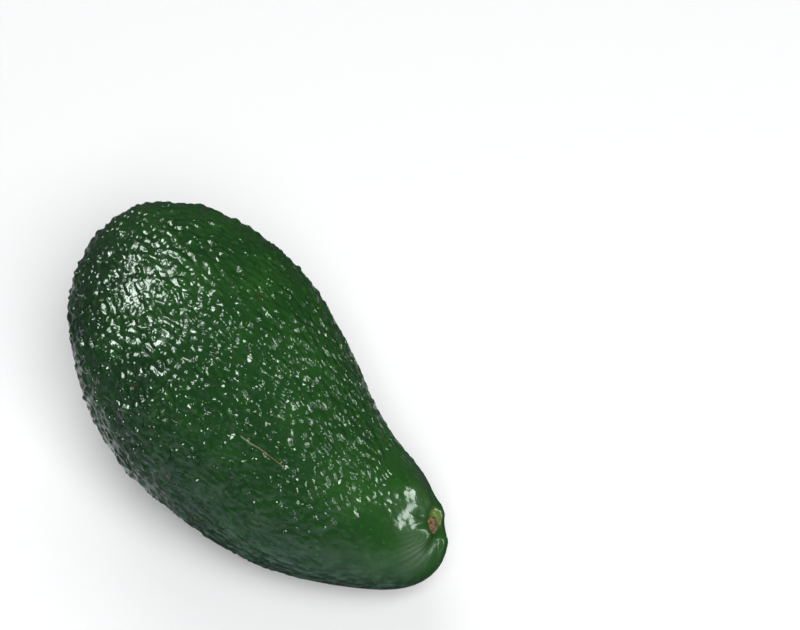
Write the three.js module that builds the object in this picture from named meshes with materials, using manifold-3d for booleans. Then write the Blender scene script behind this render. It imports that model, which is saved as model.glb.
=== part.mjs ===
/**
 * Avocado: one whole, lopsided pear-shaped fruit that lies on its side, and the dried remains of its stalk.
 *
 * Lengths are in millimetres and angles in degrees. +Z is up and +X points to the stalk end. The origin is
 * on the surface that the fruit rests on, under the middle of the fruit's box.
 *
 * The skin is drawn from points of a unit ball. A point's x, from -1 at the blossom end to +1 at the stalk
 * end, is its station along the fruit, and its y and z say where it lies round that station's section.
 */
import * as THREE from "three";
import { mergeVertices } from "three/addons/utils/BufferGeometryUtils.js";
import Module from "manifold-3d";

// The body, along the fruit's own axis. Stations run from -1 to +1.
const HALF_LENGTH = 64;
const BELLY_RADIUS = 37.3;
const NECK_RADIUS = 27.2;
const SHOULDER_STATION = 0.05;
const SHOULDER_STEEPNESS = 5.8;
const BLOSSOM_FULLNESS = 2.9;
const BLOSSOM_POWER = 4;
const AXIS_DRIFT = -6.2;
const NECK_HOOK = 14;
const NECK_HOOK_STATION = 0.66;
const NECK_HOOK_STEEPNESS = 7.5;

// How it lies: the neck droops until the weight is over the belly, which has a small worn flat.
const LEAN = 13.2;
const FLAT_DEPTH = 0.55;
const FLAT_BOX_SIDE = 80;

// The stalk hollow, on the inner side of the hooked neck, and the puckered lips round it.
const HOLLOW_STATION = 0.87;
const HOLLOW_TURN = 50;
const MOUTH_AZIMUTH = 43;
const MOUTH_ELEVATION = 38;
const HOLLOW_RADIUS = 3.3;
const HOLLOW_DEPTH = 2;
const HOLLOW_STEEPNESS = 3;
const HOLLOW_REACH = 14;
const LIP_RADIUS = 6;
const LIP_WIDTH = 2.6;
const LIP_HEIGHT = 0.1;
const LIP_FOLDS = 4;
const FOLD_TURN = 15.5;
const FOLD_DEPTH = 0.75;

// Low swells of the neck beside the hollow, and two dents. Each lies at a place beside and over the mouth's
// middle, with its length turned from the mouth's side direction, and fades out inside the hollow.
const SHOULDER = { side: 4.1, top: 10.8, length: 3, width: 3.6, turn: 54, height: 1.42 };
const CHEEK = { side: -5.9, top: -8.7, length: 2.9, width: 4.2, turn: -30, height: 0.53 };
const BROW_DENT = { side: 9.8, top: -1.9, length: 2.9, width: 7.5, turn: 41, height: -0.48 };
const RIDGE = { side: 5.1, top: 12.8, length: 1.6, width: 4.5, turn: 21, height: 0.32 };
const DIMPLE = { side: -4.8, top: 9.9, length: 1.8, width: 1.8, turn: 115, height: -0.26 };
const SWELLS = [SHOULDER, CHEEK, BROW_DENT, RIDGE, DIMPLE];
const SWELL_CLEARANCE = 3.6;

// The pebbled skin: one pebble to each point of a jittered net, with valleys between them. The net is
// gathered towards the hollow, where the form is finest, over a reach in radians of the ball.
const NET_FREQUENCY = 12;
const GATHER_SHARE = 0.5;
const GATHER_REACH = 0.4;
const NET_JITTER = 0.24;
const PEBBLE_HEIGHT = 0.75;
const PEBBLE_VARIATION = 0.5;
const VALLEY_SHARE = 0.4;
const SMOOTH_NECK_STATION = 0.7;
const SMOOTH_NECK_STEEPNESS = 11;
const SMOOTH_NECK_SHARE = 0.12;
const FLAT_SMOOTH_RADIUS = 13;
const PEBBLE_SEED = 41;

// The dried stalk: a knobbly button that sits in its own socket at the bottom of the hollow.
const STUB_RADIUS = 2;
const STUB_HEIGHT = 1.5;
const STUB_LIFT = 0.4;
const STUB_SIDE = -0.6;
const STUB_KNOBS = 5;
const STUB_KNOB_SHARE = 0.12;
const STUB_NET_FREQUENCY = 5;
const SOCKET_GAP = 0.3;

// Plain finishes for the bare solids.
const SKIN = { color: 0x24421f, roughness: 0.3, metalness: 0 };
const DRIED_STALK = { color: 0x6b5a42, roughness: 0.85, metalness: 0 };

const DIFFERENCE_STEP = 1e-3;
const STEEP = 0.9;
const WELD_TOLERANCE = 1e-5;
const UP = new THREE.Vector3(0, 0, 1);
const ACROSS = new THREE.Vector3(0, 1, 0);
const { degToRad, seededRandom, smoothstep } = THREE.MathUtils;

const wasm = await Module();
wasm.setup();

/** A soft step from 0 to 1 that passes a half where x is 0. */
function softStep(x) {
  return 1 / (1 + Math.exp(-x));
}

/** A unit vector from its turn in the level plane and its rise above it, in degrees. */
function bearing(azimuth, elevation) {
  const level = Math.cos(degToRad(elevation));
  const x = level * Math.cos(degToRad(azimuth));
  const y = level * Math.sin(degToRad(azimuth));
  return new THREE.Vector3(x, y, Math.sin(degToRad(elevation)));
}

/** The point of the unit ball at a station and a turn round the axis, in degrees. */
function ballPoint(station, turn) {
  const rim = Math.sqrt(1 - station * station);
  return new THREE.Vector3(station, rim * Math.cos(degToRad(turn)), rim * Math.sin(degToRad(turn)));
}

/** The radius that the ball's section is stretched to: a full belly, then a slimmer neck. */
function sectionRadius(station) {
  const belly = softStep((SHOULDER_STATION - station) * SHOULDER_STEEPNESS);
  const blossom = BLOSSOM_FULLNESS * Math.max(0, -station) ** BLOSSOM_POWER;
  return NECK_RADIUS + (BELLY_RADIUS - NECK_RADIUS) * belly + blossom;
}

/** How far the section's middle lies to the side: a slow drift, then the neck's hook. */
function axisOffset(station) {
  return AXIS_DRIFT * station + NECK_HOOK * softStep((station - NECK_HOOK_STATION) * NECK_HOOK_STEEPNESS);
}

/** The bare pear, with no hollow and no pebbles, in the leaning frame. */
function pearPoint(ball) {
  const radius = sectionRadius(ball.x);
  const y = axisOffset(ball.x) + radius * ball.y;
  return new THREE.Vector3(HALF_LENGTH * ball.x, y, radius * ball.z).applyAxisAngle(ACROSS, degToRad(LEAN));
}

const hollowSeat = pearPoint(ballPoint(HOLLOW_STATION, HOLLOW_TURN));
const mouth = bearing(MOUTH_AZIMUTH, MOUTH_ELEVATION).applyAxisAngle(ACROSS, degToRad(LEAN));
const mouthSide = new THREE.Vector3().crossVectors(UP, mouth).normalize();
const mouthTop = new THREE.Vector3().crossVectors(mouth, mouthSide);

/** A place as seen from the mouth: how far beside and over its middle, and how far along its direction. */
function fromMouth(point) {
  const offset = point.clone().sub(hollowSeat);
  return { side: offset.dot(mouthSide), top: offset.dot(mouthTop), along: offset.dot(mouth) };
}

/** The height of the hollow (down) and its folded lips (up), measured along the mouth's direction. */
function hollowHeight(point) {
  const { side, top, along } = fromMouth(point);
  const reach = smoothstep(along, -HOLLOW_REACH, 0);
  const distance = Math.hypot(side, top);
  const bowl = Math.exp(-((distance / HOLLOW_RADIUS) ** HOLLOW_STEEPNESS));
  const lip = Math.exp(-(((distance - LIP_RADIUS) / LIP_WIDTH) ** 2));
  const fold = -Math.cos(LIP_FOLDS * (Math.atan2(top, side) - degToRad(FOLD_TURN)));
  return reach * (lip * (LIP_HEIGHT + FOLD_DEPTH * fold) - HOLLOW_DEPTH * bowl);
}

/** The height of the swells beside the hollow, outwards from the skin. */
function swellHeight(point) {
  const { side, top } = fromMouth(point);
  let height = 0;
  for (const swell of SWELLS) {
    const away = new THREE.Vector2(side - swell.side, top - swell.top);
    away.rotateAround(new THREE.Vector2(), -degToRad(swell.turn));
    height += swell.height * Math.exp(-0.5 * ((away.x / swell.length) ** 2 + (away.y / swell.width) ** 2));
  }
  return height * (1 - Math.exp(-((Math.hypot(side, top) / SWELL_CLEARANCE) ** 3)));
}

/** The smooth skin: the pear with its hollow and lips. */
function skinPoint(ball) {
  const point = pearPoint(ball);
  return point.addScaledVector(mouth, hollowHeight(point));
}

/** The outward direction of the smooth skin at a point of the ball. */
function skinNormal(ball) {
  const helper = Math.abs(ball.z) < STEEP ? UP : ACROSS;
  const east = new THREE.Vector3().crossVectors(helper, ball).normalize();
  const north = new THREE.Vector3().crossVectors(ball, east);
  const here = skinPoint(ball);
  const eastStep = skinPoint(ball.clone().addScaledVector(east, DIFFERENCE_STEP).normalize()).sub(here);
  const northStep = skinPoint(ball.clone().addScaledVector(north, DIFFERENCE_STEP).normalize()).sub(here);
  return eastStep.cross(northStep).normalize();
}

/** A unit ball of triangles with shared corners: positions and corner indices. */
function ballNet(frequency) {
  const geometry = new THREE.IcosahedronGeometry(1, frequency - 1);
  geometry.deleteAttribute("normal");
  geometry.deleteAttribute("uv");
  const welded = mergeVertices(geometry, WELD_TOLERANCE);
  const place = welded.attributes.position;
  const pointAt = (_, i) => new THREE.Vector3().fromBufferAttribute(place, i);
  return { points: Array.from({ length: place.count }, pointAt), corners: Array.from(welded.index.array) };
}

/** Moves each point of a net by a random part of the net's spacing, and puts it back on the ball. */
function jitter(points, spacing) {
  for (const point of points) {
    const push = new THREE.Vector3(seededRandom() - 0.5, seededRandom() - 0.5, seededRandom() - 0.5);
    point.addScaledVector(push, 2 * NET_JITTER * spacing).normalize();
  }
}

/** Draws the points near the stalk hollow closer to its middle, along the ball. */
function gather(points) {
  const middle = ballPoint(HOLLOW_STATION, HOLLOW_TURN);
  for (const point of points) {
    const away = point.angleTo(middle) / GATHER_REACH;
    point.lerp(middle, GATHER_SHARE * Math.exp(-(away ** 2))).normalize();
  }
}

/** Cuts each triangle at its middle and turns the old edges, so that every old corner is a pebble's top. */
function pebbleTriangles(corners, topCount) {
  const faceOfEdge = new Map();
  for (let i = 0; i < corners.length; i += 3) {
    for (let k = 0; k < 3; k += 1) {
      faceOfEdge.set(`${corners[i + k]},${corners[i + ((k + 1) % 3)]}`, topCount + i / 3);
    }
  }
  const triangles = [];
  for (const [edge, left] of faceOfEdge) {
    const [from, to] = edge.split(",").map(Number);
    const right = faceOfEdge.get(`${to},${from}`);
    triangles.push(from, right, left);
  }
  return triangles;
}

/** How much of the full relief a place has: none at the flat, little near the stalk, all on the belly. */
function reliefShare(ball, point, restPoint) {
  const neck = softStep((SMOOTH_NECK_STATION - ball.x) * SMOOTH_NECK_STEEPNESS);
  const fromRest = point.distanceTo(restPoint) / FLAT_SMOOTH_RADIUS;
  const clearOfFlat = 1 - Math.exp(-(fromRest ** 4));
  return clearOfFlat * (SMOOTH_NECK_SHARE + (1 - SMOOTH_NECK_SHARE) * neck);
}

/** The lowest point of the smooth skin over a net's points. */
function lowestPoint(points) {
  const places = points.map(skinPoint);
  return places.reduce((low, place) => (place.z < low.z ? place : low));
}

/** A closed geometry from points and corner indices. */
function closedGeometry(points, corners) {
  const geometry = new THREE.BufferGeometry().setFromPoints(points);
  geometry.setIndex(corners);
  return geometry;
}

/** The whole pebbled skin, standing with its lowest smooth point the flat's depth under the surface. */
function pebbledSkin() {
  seededRandom(PEBBLE_SEED);
  const net = ballNet(NET_FREQUENCY);
  const spacing = net.points[net.corners[0]].distanceTo(net.points[net.corners[1]]);
  jitter(net.points, spacing);
  gather(net.points);
  const valleys = [];
  for (let i = 0; i < net.corners.length; i += 3) {
    const valley = new THREE.Vector3();
    net.corners.slice(i, i + 3).forEach((corner) => valley.add(net.points[corner]));
    valleys.push(valley.normalize());
  }
  const restPoint = lowestPoint(net.points);
  const raise = (ball, height) => {
    const point = skinPoint(ball);
    const relief = height * reliefShare(ball, point, restPoint);
    return point.addScaledVector(skinNormal(ball), relief + swellHeight(pearPoint(ball)));
  };
  const tops = net.points.map((ball) => raise(ball, PEBBLE_HEIGHT * (1 - PEBBLE_VARIATION * seededRandom())));
  const dips = valleys.map((ball) => raise(ball, -VALLEY_SHARE * PEBBLE_HEIGHT));
  const geometry = closedGeometry([...tops, ...dips], pebbleTriangles(net.corners, tops.length));
  return { geometry, floor: restPoint.z + FLAT_DEPTH, restPoint };
}

/** The dried stalk's button, or with a gap all round, the socket that it sits in. */
function stubGeometry(gap) {
  const net = ballNet(STUB_NET_FREQUENCY);
  const points = net.points.map((ball) => {
    const wave = Math.cos(STUB_KNOBS * Math.atan2(ball.y, ball.x)) * (1 - ball.z * ball.z);
    const radius = STUB_RADIUS * (1 + STUB_KNOB_SHARE * wave) + gap;
    return new THREE.Vector3(radius * ball.x, radius * ball.y, (STUB_HEIGHT + gap) * ball.z);
  });
  const seat = hollowSeat.clone().addScaledVector(mouth, STUB_LIFT - HOLLOW_DEPTH);
  seat.addScaledVector(mouthSide, STUB_SIDE);
  const turn = new THREE.Matrix4().makeBasis(mouthSide, mouthTop, mouth).setPosition(seat);
  return closedGeometry(points, net.corners).applyMatrix4(turn);
}

/** A manifold solid from a closed geometry. */
function toSolid(geometry) {
  const vertProperties = new Float32Array(geometry.attributes.position.array);
  const triVerts = new Uint32Array(geometry.index.array);
  return new wasm.Manifold(new wasm.Mesh({ numProp: 3, vertProperties, triVerts }));
}

/** A geometry with shared corners from a manifold solid. */
function toGeometry(solid) {
  const mesh = solid.getMesh();
  const geometry = new THREE.BufferGeometry();
  geometry.setAttribute("position", new THREE.BufferAttribute(mesh.vertProperties, 3));
  geometry.setIndex(new THREE.BufferAttribute(mesh.triVerts, 1));
  return geometry;
}

/** A box whose top is the surface that the fruit rests on, under the whole fruit. */
function restBox(floor, restPoint) {
  const box = new THREE.BoxGeometry(FLAT_BOX_SIDE, FLAT_BOX_SIDE, FLAT_BOX_SIDE);
  box.deleteAttribute("normal");
  box.deleteAttribute("uv");
  box.translate(restPoint.x, restPoint.y, floor - FLAT_BOX_SIDE / 2);
  return mergeVertices(box, WELD_TOLERANCE);
}

/** The fruit's geometry: the pebbled skin, less the worn flat and the stalk's socket. */
function fruitGeometry(skin) {
  const flat = toSolid(restBox(skin.floor, skin.restPoint));
  const socket = toSolid(stubGeometry(SOCKET_GAP));
  return toGeometry(toSolid(skin.geometry).subtract(flat).subtract(socket));
}

/** A named mesh with its own material. */
function namedMesh(name, geometry, finish) {
  geometry.computeVertexNormals();
  const mesh = new THREE.Mesh(geometry, new THREE.MeshStandardMaterial(finish));
  mesh.name = name;
  return mesh;
}

/** The avocado, moved so that its box stands centred over the origin. */
function avocado() {
  const skin = pebbledSkin();
  const group = new THREE.Group();
  group.add(namedMesh("fruit", fruitGeometry(skin), SKIN));
  group.add(namedMesh("stalk_stub", stubGeometry(0), DRIED_STALK));
  const middle = new THREE.Box3().setFromObject(group).getCenter(new THREE.Vector3());
  group.position.set(-middle.x, -middle.y, -skin.floor);
  return group;
}

export default avocado();
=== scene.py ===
"""A whole avocado on a pale studio floor: the waxy, pebbled fruit and the dried remains of its stalk.

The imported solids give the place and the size. Two finer pieces stand for them, drawn from the same
formulas: the fruit, with its pebbles, swells and wrinkles as real relief, and the stalk's button.
Lengths are in millimetres and angles in degrees, unless a name or a comment says otherwise.
"""

import logging
import math
from dataclasses import dataclass, field
from enum import Enum

import bpy
import numpy as np
from mathutils import Matrix, Vector, kdtree


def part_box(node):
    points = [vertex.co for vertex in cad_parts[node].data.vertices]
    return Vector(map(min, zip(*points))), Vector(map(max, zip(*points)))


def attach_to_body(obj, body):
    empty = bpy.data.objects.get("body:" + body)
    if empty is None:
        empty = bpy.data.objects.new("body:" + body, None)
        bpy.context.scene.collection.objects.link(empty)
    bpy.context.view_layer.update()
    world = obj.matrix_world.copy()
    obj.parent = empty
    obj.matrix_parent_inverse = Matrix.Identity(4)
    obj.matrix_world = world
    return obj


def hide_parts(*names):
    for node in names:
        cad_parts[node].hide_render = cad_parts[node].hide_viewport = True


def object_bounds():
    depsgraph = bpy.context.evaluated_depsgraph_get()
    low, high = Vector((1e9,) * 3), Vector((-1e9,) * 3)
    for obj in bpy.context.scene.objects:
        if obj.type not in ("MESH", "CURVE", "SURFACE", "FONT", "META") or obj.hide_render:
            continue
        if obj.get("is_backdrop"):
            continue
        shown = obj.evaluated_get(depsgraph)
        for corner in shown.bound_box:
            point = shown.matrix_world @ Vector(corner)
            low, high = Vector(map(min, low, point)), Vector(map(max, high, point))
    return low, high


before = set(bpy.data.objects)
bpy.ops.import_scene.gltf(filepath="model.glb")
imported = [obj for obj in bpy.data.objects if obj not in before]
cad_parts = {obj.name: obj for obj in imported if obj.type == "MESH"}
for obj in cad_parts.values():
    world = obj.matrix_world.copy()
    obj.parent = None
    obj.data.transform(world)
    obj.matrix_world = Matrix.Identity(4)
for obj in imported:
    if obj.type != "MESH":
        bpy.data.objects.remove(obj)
SOLID_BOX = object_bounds()

LOG = logging.getLogger("avocado")
BODY = "root"
MM = 0.001
UP = np.array([0.0, 0.0, 1.0])
# A colour noise swings round this in each of its three parts.
NOISE_MIDDLE = (0.5, 0.5, 0.5)
# Points of a net's sides are one point where they agree to a millionth of the ball's radius.
NET_KEYS = 1e6
# What a node's input can be linked to: a node's output, or a node for the first output that it uses.
Link = bpy.types.Node | bpy.types.NodeSocket


def linear(colour: str) -> tuple[float, float, float, float]:
    """Turns an sRGB hex colour into linear light.

    Args:
        colour: a colour such as "#24421f".

    Returns:
        Red, green, blue and an alpha of 1, in linear light.
    """
    steps = [int(colour[i : i + 2], 16) / 255.0 for i in (1, 3, 5)]
    light = [s / 12.92 if s <= 0.04045 else ((s + 0.055) / 1.055) ** 2.4 for s in steps]
    return (*light, 1.0)


def bell(distance: np.ndarray, width: float | np.ndarray) -> np.ndarray:
    """A bell curve of the given width: 1 where the distance is 0."""
    return np.exp(-((distance / width) ** 2))


def unit(vectors: np.ndarray) -> np.ndarray:
    """The vectors made one long."""
    return vectors / np.linalg.norm(vectors, axis=-1, keepdims=True)


def bearing(azimuth: float, elevation: float) -> np.ndarray:
    """A unit vector turned by azimuth from +X in the level plane and raised by elevation above it."""
    turn, rise = math.radians(azimuth), math.radians(elevation)
    return np.array([math.cos(rise) * math.cos(turn), math.cos(rise) * math.sin(turn), math.sin(rise)])


def ball_point(station: float, turn: float) -> np.ndarray:
    """The point of the unit ball at a station along the fruit and a turn round its axis."""
    rim = math.sqrt(1.0 - station * station)
    return np.array([station, rim * math.cos(math.radians(turn)), rim * math.sin(math.radians(turn))])


def ball_net(along: int, around: int) -> tuple[np.ndarray, np.ndarray]:
    """Builds a unit ball of quads, as a box whose long sides run along x and bulge to a ball.

    Args:
        along: cells along x on each long side.
        around: cells across each side, a quarter of the cells round x.

    Returns:
        The points, and the quads as four point numbers each, facing out.
    """
    points, quads = [], []
    start = 0
    for axis in range(3):
        u_axis, v_axis = (axis + 1) % 3, (axis + 2) % 3
        u, v = (
            np.tan(np.linspace(-math.pi / 4, math.pi / 4, (along if side_axis == 0 else around) + 1))
            for side_axis in (u_axis, v_axis)
        )
        grid_u, grid_v = np.meshgrid(u, v, indexing="ij")
        for sign in (-1.0, 1.0):
            side = np.empty((*grid_u.shape, 3))
            side[..., axis], side[..., u_axis], side[..., v_axis] = sign, grid_u, grid_v
            number = start + np.arange(grid_u.size).reshape(grid_u.shape)
            ring = [number[:-1, :-1], number[1:, :-1], number[1:, 1:], number[:-1, 1:]]
            ring = ring if sign > 0 else ring[::-1]
            quads.append(np.stack(ring, axis=-1).reshape(-1, 4))
            points.append(unit(side).reshape(-1, 3))
            start += grid_u.size
    every = np.concatenate(points)
    keys = np.round(every * NET_KEYS).astype(np.int64)
    _, first, shared = np.unique(keys, axis=0, return_index=True, return_inverse=True)
    return every[first], shared.reshape(-1)[np.concatenate(quads)]


def build_mesh(name: str, points: np.ndarray, quads: np.ndarray) -> bpy.types.Object:
    """Makes a smooth-shaded mesh object at the origin.

    Args:
        name: the object's name.
        points: the places of the points, in millimetres.
        quads: four point numbers for each face.

    Returns:
        The new object, linked to the scene.
    """
    mesh = bpy.data.meshes.new(name)
    mesh.from_pydata((points * MM).tolist(), [], quads.tolist())
    mesh.polygons.foreach_set("use_smooth", [True] * len(mesh.polygons))
    mesh.update()
    piece = bpy.data.objects.new(name, mesh)
    bpy.context.scene.collection.objects.link(piece)
    return piece


def point_normals(mesh: bpy.types.Mesh) -> np.ndarray:
    """Reads the outward direction at each point of a mesh.

    Args:
        mesh: the mesh.

    Returns:
        A direction for each point, as rows.
    """
    normals = np.empty(len(mesh.vertices) * 3)
    mesh.vertex_normals.foreach_get("vector", normals)
    return normals.reshape(-1, 3)


def move_points(mesh: bpy.types.Mesh, points: np.ndarray) -> None:
    """Puts a mesh's points at new places, given in millimetres."""
    mesh.vertices.foreach_set("co", (points * MM).reshape(-1))
    mesh.update()


def store(mesh: bpy.types.Mesh, name: str, values: np.ndarray) -> None:
    """Stores one number for each point, which a material can read by its name."""
    layer = mesh.attributes.new(name, "FLOAT", "POINT")
    layer.data.foreach_set("value", values.astype(np.float32))


class Dressing:
    """A new material, its node tree, and where on the piece each point lies, which patterns are drawn at."""

    def __init__(self, name: str) -> None:
        """Makes a material that has only the place on the piece yet.

        Args:
            name: the material's name.
        """
        self.material = bpy.data.materials.new(name)
        self.material.use_nodes = True
        self.tree = self.material.node_tree
        self.tree.nodes.clear()
        self.where = self.add("TexCoord").outputs["Object"]

    def add(self, kind: str, values: tuple | list | dict = (), **settings: object) -> bpy.types.Node:
        """Adds a shader node with its settings, values and links.

        Args:
            kind: the node's type name, after "ShaderNode".
            values: what goes into the inputs that the node uses with its settings, in their order, or by
                their names: a value, an output to link, or a node to link by the first output it uses.
            settings: properties to set on the node.

        Returns:
            The new node.
        """
        node = self.tree.nodes.new(f"ShaderNode{kind}")
        for name, setting in settings.items():
            setattr(node, name, setting)
        used = [slot for slot in node.inputs if slot.enabled]
        for key, value in values.items() if isinstance(values, dict) else enumerate(values):
            slot = node.inputs[key] if isinstance(key, str) else used[key]
            if isinstance(value, bpy.types.Node):
                value = next(output for output in value.outputs if output.enabled)
            if isinstance(value, bpy.types.NodeSocket):
                self.tree.links.new(value, slot)
            else:
                slot.default_value = value
        return node


@dataclass(frozen=True)
class Grain:
    """A noise pattern: how wide its grain is, how many finer grains lie on it, and how strong they are."""

    width: float
    detail: float = 2.0
    roughness: float = 0.5

    def drawn_at(self, where: Link) -> dict[str, Link | float]:
        """What a noise node takes to draw it at a place."""
        scale = 1.0 / (self.width * MM)
        return {"Vector": where, "Scale": scale, "Detail": self.detail, "Roughness": self.roughness}


@dataclass(frozen=True)
class Rise:
    """A soft step from low to high: it rises along x, or falls where its steepness is below 0."""

    middle: float
    steepness: float
    low: float = 0.0
    high: float = 1.0

    def at(self, x: np.ndarray) -> np.ndarray:
        """The step's value at each x, which is halfway up at the middle."""
        return self.low + (self.high - self.low) / (1.0 + np.exp((self.middle - x) * self.steepness))


@dataclass(frozen=True)
class WaveNoise:
    """Smooth random relief: the sum of plane waves with seeded directions and phases.

    An along below 1 draws it out along x. The paces are how much longer or shorter a wave may be, and the
    evenness is what brings nearly all heights between -1 and 1.
    """

    wavelength: float
    seed: int
    along: float = 1.0
    count: int = 36
    paces: tuple[float, float] = (0.7, 1.4)
    evenness: float = 1.6

    def heights(self, places: np.ndarray) -> np.ndarray:
        """Gives the relief at each place.

        Args:
            places: points in millimetres, with x along the fruit.

        Returns:
            A height for each place, mostly between -1 and 1.
        """
        random = np.random.default_rng(self.seed)
        turn = unit(random.normal(size=(self.count, 3)))
        turn[:, 0] *= self.along
        pace = 2.0 * math.pi / (self.wavelength * random.uniform(*self.paces, self.count))
        phase = random.uniform(0.0, 2.0 * math.pi, self.count)
        waves = np.cos(places @ (turn * pace[:, None]).T + phase)
        return waves.sum(axis=1) * math.sqrt(2.0 / self.count) / self.evenness


@dataclass(frozen=True)
class PearForm:
    """The bare pear, as a function of points of a unit ball whose x is the station along the fruit.

    Its girth is a full belly's radius, then a slimmer neck's. Its axis drifts to the side, then hooks.
    """

    half_length: float = 64.0
    girth: Rise = Rise(0.05, -5.8, 27.2, 37.3)
    blossom_fullness: float = 2.9
    blossom_power: float = 4.0
    axis_drift: float = -6.2
    neck_hook: Rise = Rise(0.66, 7.5, 0.0, 14.0)
    lean: float = 13.2

    def section_radius(self, station: np.ndarray) -> np.ndarray:
        """The radius that the ball's section is stretched to, which is fuller at the blossom end."""
        blossom = self.blossom_fullness * np.maximum(0.0, -station) ** self.blossom_power
        return self.girth.at(station) + blossom

    def lean_over(self, places: np.ndarray) -> np.ndarray:
        """Turns places about the level cross axis until the neck droops by the lean.

        Args:
            places: points on the upright pear.

        Returns:
            The points as the pear lies.
        """
        c, s = math.cos(math.radians(self.lean)), math.sin(math.radians(self.lean))
        x, y, z = places[..., 0], places[..., 1], places[..., 2]
        return np.stack([x * c + z * s, y, z * c - x * s], axis=-1)

    def upright(self, balls: np.ndarray) -> np.ndarray:
        """Gives places on the pear before it leans.

        Args:
            balls: points of the unit ball.

        Returns:
            Places with x along the pear's axis.
        """
        station = balls[..., 0]
        radius = self.section_radius(station)
        y = self.axis_drift * station + self.neck_hook.at(station) + radius * balls[..., 1]
        return np.stack([self.half_length * station, y, radius * balls[..., 2]], axis=-1)

    def places(self, balls: np.ndarray) -> np.ndarray:
        """Places on the pear as it lies."""
        return self.lean_over(self.upright(balls))


@dataclass(frozen=True)
class NeckSwell:
    """A low swell of the neck, or with a height below 0 a dent, placed from the middle of the mouth."""

    side: float
    top: float
    length: float
    width: float
    turn: float
    height: float

    def heights(self, side: np.ndarray, top: np.ndarray) -> np.ndarray:
        """Gives the swell's height at places beside and over the mouth's middle.

        Args:
            side: how far each place lies to the mouth's side.
            top: how far it lies over the mouth.

        Returns:
            The height at each place.
        """
        c, s = math.cos(math.radians(self.turn)), math.sin(math.radians(self.turn))
        x = (side - self.side) * c + (top - self.top) * s
        y = (top - self.top) * c - (side - self.side) * s
        return self.height * np.exp(-0.5 * ((x / self.length) ** 2 + (y / self.width) ** 2))


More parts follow.
